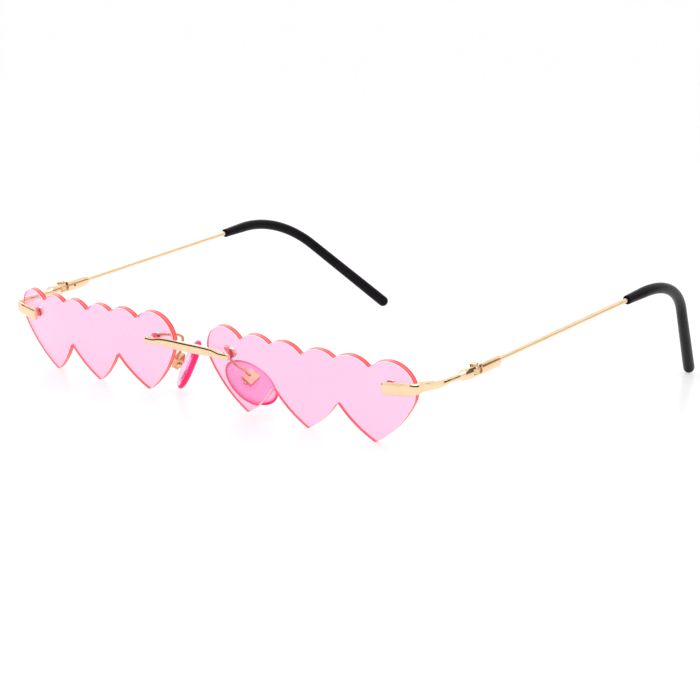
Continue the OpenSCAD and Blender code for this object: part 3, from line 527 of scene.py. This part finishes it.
def skin(bm, rings, s):
    """Closed skin over a row of rings."""
    rows = [[bm.verts.new(world(p, s)) for p in r] for r in rings]
    n = len(rows[0])
    for a, b in zip(rows, rows[1:]):
        for i in range(n):
            bm.faces.new([a[i], a[(i + 1) % n], b[(i + 1) % n], b[i]])
    bm.faces.new(rows[0])
    bm.faces.new(list(reversed(rows[-1])))


def sweep(bm, s, stations, end_r):
    """Bar along stations of place, height and width, with a rounded start and, by end_r, end."""
    st = catmull(stations, BAR_STEPS)
    at = [Vector(p[:3]) for p in st]
    n = len(st) - 1
    along = [(at[min(i + 1, n)] - at[max(i - 1, 0)]).normalized() for i in range(n + 1)]

    def cap(i, r, way):
        rings = []
        for a in range(80, 0, -10) if way < 0 else range(10, 90, 10):
            cut = 2 * r * (1 - cos(radians(a)))
            rings.append(ring(at[i] + along[i] * way * r * sin(radians(a)), along[i],
                              st[i][3] - cut, st[i][4] - cut))
        return rings

    rings = cap(0, BAR_ROUND, -1)
    rings += [ring(at[i], along[i], st[i][3], st[i][4]) for i in range(n + 1)]
    rings += cap(n, end_r, 1) if end_r else []
    skin(bm, rings, s)


def rod(bm, s, u, v, y0, y1, r):
    """Short round rod square to the lens face at a hole."""
    yaw = asin(u / CURVE_R)
    pitch = -asin((v - LENS_MID) / (CURVE_R * cos(yaw)))

    def place(p):
        q = turn_x(turn_z((p[0], p[1] - CURVE_R, p[2]), yaw), pitch)
        return Vector(add((LENS_X, 0, lens_z), lens_turned((q[0], q[1] + CURVE_R, q[2]))))

    turns = [2 * pi * k / ROD_SIDES for k in range(ROD_SIDES)]
    rims = ((y0, r - ROD_BEVEL), (y0 + ROD_BEVEL, r), (y1 - ROD_BEVEL, r), (y1, r - ROD_BEVEL))
    skin(bm, [[place((q * cos(a), y, q * sin(a))) for a in turns] for y, q in rims], s)


BAR_DEPTH = -BAR_GAP - BAR_T / 2
STACK = LENS_T + WASHER_T


def bridge():
    bm = bmesh.new()
    x, y, z = inner_bar
    mid_z = z + DROP
    half = [(x + BRIDGE_LAP - BAR_ROUND, y, z, BRIDGE_END_H, BRIDGE_T),
            (x - BRIDGE_LAP, y, z, BRIDGE_END_H, BRIDGE_T),
            (KINK_X, y + KINK, mid_z, (BRIDGE_H + BRIDGE_END_H) / 2, BRIDGE_T),
            (KINK_X / 2, y - BOW / 2, mid_z, BRIDGE_H, BRIDGE_T)]
    middle = [(0, y - BOW, mid_z, BRIDGE_H, BRIDGE_T)]
    sweep(bm, 1, [(-p[0], *p[1:]) for p in half] + middle + half[::-1], BAR_ROUND)
    for s in (1, -1):
        rod(bm, s, -HOLE_X, INNER_V, BAR_DEPTH, 0, COLLAR_D / 2)
        rod(bm, s, -HOLE_X, INNER_V, BAR_DEPTH, STACK + INNER_STUD, STUD_D / 2)
    return bm


def endpiece(s):
    """Bar on the lens front that bends back round its end and narrows to the hinge's arm."""
    bm = bmesh.new()
    bend_u = half_lens + BEND_GAP + BAR_T / 2

    def bar_v(u): return OUTER_V + BAR_RISE * (u - HOLE_X) / (bend_u - HOLE_X)

    a = lens_pt(HOLE_X - BAR_LAP + BAR_ROUND, BAR_DEPTH, bar_v(HOLE_X - BAR_LAP))
    b = lens_pt((HOLE_X + half_lens) / 2, BAR_DEPTH, bar_v((HOLE_X + half_lens) / 2))
    c = lens_pt(half_lens - BAR_T / 2, BAR_DEPTH, bar_v(half_lens))
    d = lens_pt(bend_u - BAR_T / 4, BAR_DEPTH / 2, bar_v(bend_u) + BAR_RISE / 6)
    e = lens_pt(bend_u + BAR_GAP, LENS_T / 2, bar_v(bend_u) + BAR_RISE / 2)
    throat, f, g = (hinge_pt((0, -LEAF_L - gap, 0)) for gap in (2 * ARM_LEAD, ARM_LEAD, RUN_GAP))
    stations = [(*a, BAR_H, BAR_T), (*b, BAR_H, BAR_T), (*c, BAR_H, BAR_T),
                (*d, BEND_H, BAR_T), (*e, BEND_H, BAR_T),
                (*throat, THROAT_H, ARM_D), (*f, ARM_D, ARM_D), (*g, ARM_D, ARM_D)]
    sweep(bm, s, stations, 0)
    rod(bm, s, HOLE_X, OUTER_V, BAR_DEPTH, 0, COLLAR_D / 2)
    rod(bm, s, HOLE_X, OUTER_V, BAR_DEPTH, STACK + OUTER_STUD, STUD_D / 2)
    return bm


piece("bridge_bar", bridge(), [GOLD], "front", ["bridge"], BAR_SHARP)
for name, s in SIDES.items():
    piece(f"{name}_end_bar", endpiece(s), [GOLD], "front", [f"{name}_endpiece"], BAR_SHARP)


# Temple wires and sleeves, made from stops of place along the path and diameter
def path_rings(s, stops, sides):
    x = Vector(turn_z(turn_y((1, 0, 0), BEND_LEAN), TURN[s]))
    turns = [2 * pi * k / sides for k in range(sides)]
    rings = []
    for at, d in stops:
        t = Vector(path_pt(s, at + PATH_STEP)) - Vector(path_pt(s, at - PATH_STEP))
        z = x.cross(t.normalized())
        c = Vector(path_pt(s, at))
        rings.append([Vector(hinge_pt(c + d / 2 * (x * cos(a) + z * sin(a)))) for a in turns])
    return rings


def bend_stops(s, d, n=BEND_STEPS):
    return [(STRAIGHT_L + arc_l(s) * i / n, d) for i in range(n + 1)]


def taper(at, length, d0, d1):
    return [(at + length * i / TAPER_STEPS, d0 + (d1 - d0) * i / TAPER_STEPS)
            for i in range(1, TAPER_STEPS)]


def temple_wire(s):
    bm = bmesh.new()
    lead = [(WIRE_START + (STRAIGHT_L - WIRE_START) * i / WIRE_STEPS, WIRE_D)
            for i in range(WIRE_STEPS)]
    stops = lead + bend_stops(s, WIRE_D) + [(path_l(s) - TIP_WIRE_GAP, WIRE_D)]
    skin(bm, path_rings(s, stops, WIRE_SIDES), s)
    return bm


def temple_sleeve(s):
    """From the socket's end forward to the lip, then back over the outside to the round end."""
    bm = bmesh.new()
    start, end = STRAIGHT_L - TIP_LEAD, path_l(s) - TIP_WIRE_GAP
    socket_d = WIRE_D + 2 * SOCKET_GAP
    stops = [(end + SOCKET_GAP, socket_d)]
    stops += bend_stops(s, socket_d, SOCKET_STEPS)[::-1] + [(start, socket_d)]
    for a in (0, 20, 40, 60, 80, 90):
        stops.append((start + LIP_L * (1 - cos(radians(a))),
                      TIP_FRONT_D * (LIP_LOW + LIP_GAIN * sin(radians(a)))))
    stops += taper(start + LIP_L, TIP_LEAD - LIP_L, TIP_FRONT_D, TIP_MID_D)
    stops += bend_stops(s, TIP_MID_D)
    tail_start, tail_end = STRAIGHT_L + arc_l(s), path_l(s) - TIP_END_D / 2
    stops += taper(tail_start, tail_end - tail_start, TIP_MID_D, TIP_END_D)
    stops += [(tail_end + TIP_END_D / 2 * sin(radians(a)), TIP_END_D * cos(radians(a)))
              for a in range(0, 90, 8)]
    skin(bm, path_rings(s, stops, SLEEVE_SIDES), s)
    return bm


for name, s in SIDES.items():
    body = f"{name}_temple"
    piece(f"{name}_wire", temple_wire(s), [WIRE_GOLD], body, [f"{name}_temple_wire"], BAR_SHARP)
    piece(f"{name}_sleeve", temple_sleeve(s), [TIP], body, [f"{name}_temple_tip"], BAR_SHARP)


# Nose pads
def pad_world(p, s):
    q, a = turn_y(p, PAD_TURN[s]), PAD_ANGLES[s]
    return add(PAD_AT, turn_z(turn_y(turn_x(q, a[0]), a[1]), a[2]))


def nose_pad(s):
    bm = bmesh.new()
    layer = bm.verts.layers.float.new(RIM_LAYER)
    rows = []
    for high, wide in PAD_PROFILE:
        row = []
        for k in range(PAD_SIDES if wide else 1):
            a = 2 * pi * k / PAD_SIDES
            p = (PAD_L / 2 * wide * cos(a), PAD_W / 2 * wide * sin(a) * (1 + PAD_EGG * cos(a)),
                 PAD_REACH + PAD_T * high)
            v = bm.verts.new(world(pad_world(p, s), s))
            v[layer] = max(0, min(1, (wide - RIM_FROM) / RIM_WIDTH))
            row.append(v)
        rows.append(row)
    for (_, wide), a, b in zip(PAD_PROFILE, rows, rows[1:]):
        for i in range(PAD_SIDES):
            j = (i + 1) % PAD_SIDES
            if len(a) == 1:
                bm.faces.new([a[0], b[j], b[i]])
            elif len(b) == 1:
                bm.faces.new([a[i], a[j], b[0]])
            else:
                bm.faces.new([a[i], a[j], b[j], b[i]]).material_index = 1 if wide > RIM_SHARE else 0
    return bm


for name, s in SIDES.items():
    pad = piece(f"{name}_soft_pad", nose_pad(s), [PAD, PAD_RIM], f"{name}_pad", [f"{name}_nose_pad"],
                PAD_SHARP)


# Cast and brazed pieces: the solid's own shape with its edges rounded over
def rounded(node, cell, passes, dome=0):
    mesh = nodes[node].data.copy()
    mesh.materials.clear()
    mesh.transform(Matrix.Scale(GROW, 4))
    obj = bpy.data.objects.new("work", mesh)
    scene.collection.objects.link(obj)
    weld = obj.modifiers.new("weld", "WELD")
    weld.merge_threshold = GROW * WELD_GAP
    grid = obj.modifiers.new("grid", "REMESH")
    grid.mode = "VOXEL"
    grid.voxel_size = cell * MM * GROW
    soften = obj.modifiers.new("soften", "SMOOTH")
    soften.factor = SOFTEN
    soften.iterations = passes
    bpy.context.view_layer.update()
    out = bpy.data.meshes.new_from_object(obj.evaluated_get(bpy.context.evaluated_depsgraph_get()))
    bpy.data.objects.remove(obj)
    out.transform(Matrix.Scale(1 / GROW, 4))
    if dome:
        crown(out, SIDES[node.split("_")[0]], dome)
    return out


def crown(mesh, s, dome):
    """Draw the flat outer sides in towards the upper and lower edges, as on a polished torpedo."""
    local = []
    for v in mesh.vertices:
        p = (s * v.co.x / MM - HINGE_X, v.co.y / MM + MID_Y - HINGE_Y, v.co.z / MM - HINGE_Z)
        local.append(turn_x(turn_z(p, SPLAY), -RISE))
    half = max(abs(p[2]) for p in local)
    for v, (x, y, z) in zip(mesh.vertices, local):
        pull = min(abs(x), dome * (z / half) ** 2)
        v.co = world(hinge_pt((x - pull if x > 0 else x + pull, y, z)), s)


for name in SIDES:
    leaves = rounded(f"{name}_front_hinge", LEAF_CELL, CAST_PASSES, DOME)
    piece(f"{name}_brazed_leaves", leaves, [GOLD], "front", [f"{name}_front_hinge"],
          CAST_SHARP)
    block = rounded(f"{name}_hinge_housing", CELL, CAST_PASSES, DOME)
    piece(f"{name}_sprung_block", block, [GOLD], f"{name}_temple", [f"{name}_hinge_housing"],
          CAST_SHARP)
    loop_arm = rounded(f"{name}_pad_arm", CELL, ARM_PASSES)
    piece(f"{name}_looped_arm", loop_arm, [ARM_GOLD], "front", [f"{name}_pad_arm"],
          CAST_SHARP)

# Camera, fitted to the photograph: angles in radians, lengths in millimetres, the rest in pixels
AZ, EL, ROLL = 0.71201, 0.17894, 0.04581
OFF_X, OFF_Y, DIST, TARGET_Z, SENSOR = 39.1018, -0.60208, 563.92578, 15, 36
FOCAL, CX, CY, IMAGE = 2303.65037, 352.07919, 348.56032, 700
back = Vector((sin(AZ) * cos(EL), -cos(AZ) * cos(EL), sin(EL)))
right = Vector((cos(AZ), sin(AZ), 0))
up = back.cross(right)
cam_x = cos(ROLL) * right + sin(ROLL) * up
cam_y = -sin(ROLL) * right + cos(ROLL) * up
camera = bpy.data.objects.new("camera", bpy.data.cameras.new("camera"))
scene.collection.objects.link(camera)
scene.camera = camera
place = Vector((0, -MID_Y, TARGET_Z)) + cam_x * OFF_X + cam_y * OFF_Y + back * DIST
facing = Matrix((cam_x, cam_y, back)).transposed().to_4x4()
camera.matrix_world = Matrix.Translation(place * MM) @ facing
camera.data.sensor_width = SENSOR
camera.data.lens = FOCAL * camera.data.sensor_width / IMAGE
camera.data.shift_x = (IMAGE / 2 - CX) / IMAGE
camera.data.shift_y = (CY - IMAGE / 2) / IMAGE
camera.data.clip_start = 0.01


# Stage. From here on, places and sizes are in metres
def card_mesh(name, wide, high, mat):
    w, h = wide / 2, high / 2
    mesh = bpy.data.meshes.new(name)
    mesh.from_pydata([(-w, -h, 0), (w, -h, 0), (w, h, 0), (-w, h, 0)], [], [(0, 1, 2, 3)])
    mesh.materials.append(mat)
    return mesh


def floor_material():
    """White acrylic, half of it plain white where it is seen, which keeps shadows faint."""
    mat, nt, bsdf, out = new_material("white_acrylic")
    bsdf.inputs["Base Color"].default_value = (0.985, 0.985, 0.985, 1)
    bsdf.inputs["Specular IOR Level"].default_value = 0.35
    gloss = spread(nt, noise(nt, scale=40), low=0.24, high=0.3)
    nt.links.new(gloss, bsdf.inputs["Roughness"])
    white = nt.nodes.new("ShaderNodeEmission")
    white.inputs["Strength"].default_value = 1
    path = nt.nodes.new("ShaderNodeLightPath")
    seen = path.outputs["Is Camera Ray"]
    for ray in ("Is Glossy Ray", "Is Transmission Ray"):
        either = nt.nodes.new("ShaderNodeMath")
        either.operation = "MAXIMUM"
        nt.links.new(seen, either.inputs[0])
        nt.links.new(path.outputs[ray], either.inputs[1])
        seen = either.outputs[0]
    weight = nt.nodes.new("ShaderNodeMath")
    weight.operation = "MULTIPLY"
    weight.inputs[1].default_value = 0.5
    nt.links.new(seen, weight.inputs[0])
    share = nt.nodes.new("ShaderNodeMixShader")
    nt.links.new(weight.outputs[0], share.inputs[0])
    nt.links.new(bsdf.outputs[0], share.inputs[1])
    nt.links.new(white.outputs[0], share.inputs[2])
    nt.links.new(share.outputs[0], out.inputs[0])
    return mat


FLOOR_SIZE, FLOOR_DROP = 12.0, 0.00002
floor = bpy.data.objects.new("floor", card_mesh("floor", FLOOR_SIZE, FLOOR_SIZE, floor_material()))
floor.location.z = -FLOOR_DROP
scene.collection.objects.link(floor)

# World: plain white all round
world_data = bpy.data.worlds.new("studio")
scene.world = world_data
world_data.use_nodes = True
sky = world_data.node_tree
sky.nodes.clear()
around = sky.nodes.new("ShaderNodeBackground")
around.inputs["Color"].default_value = (1, 1, 1, 1)
around.inputs["Strength"].default_value = 1
sky.links.new(around.outputs[0], sky.nodes.new("ShaderNodeOutputWorld").inputs[0])


# Soft lamps from above and behind
def lamp(name, centre, towards, size, watts):
    obj = bpy.data.objects.new(name, bpy.data.lights.new(name, "AREA"))
    obj.data.energy, obj.data.size = watts, size
    obj.location = centre
    obj.rotation_euler = (Vector(centre) - Vector(towards)).to_track_quat("Z", "Y").to_euler()
    scene.collection.objects.link(obj)


lamp("key", (0.25, -0.35, 0.7), (0, -0.02, 0), size=0.6, watts=1.4)
lamp("rim_light", (-0.45, 0.32, 0.42), (0, -0.06, 0.01), size=0.4, watts=1.0)


# Dark cards that only reflections show
def card_material(name, tone):
    mat, _, bsdf, _ = new_material(name)
    bsdf.inputs["Base Color"].default_value = (*tone, 1)
    return mat


def flag(name, centre, towards, wide, high, mat):
    obj = bpy.data.objects.new(name, card_mesh(name, wide, high, mat))
    obj.location = centre
    obj.rotation_euler = (Vector(towards) - Vector(centre)).to_track_quat("Z", "Y").to_euler()
    scene.collection.objects.link(obj)
    obj.visible_camera = obj.visible_diffuse = obj.visible_transmission = obj.visible_shadow = False


black = card_material("black_card", (0.018, 0.01, 0.005))
brown = card_material("brown_card", (0.42, 0.22, 0.08))
flag("flag_left", (-0.4, -0.44, 0.22), (0.01, -0.07, 0.012), 0.5, 0.28, black)
flag("flag_front", (0.351, -0.483, 0.235), (0.072, -0.07, 0.019), 0.8, 0.3, black)
flag("flag_near", (0.26, 0.15, 0.1), (0.07, -0.055, 0.018), 0.06, 0.18, black)
flag("flag_right", (0.42, 0.44, 0.12), (0.07, -0.03, 0.017), 0.36, 0.14, brown)
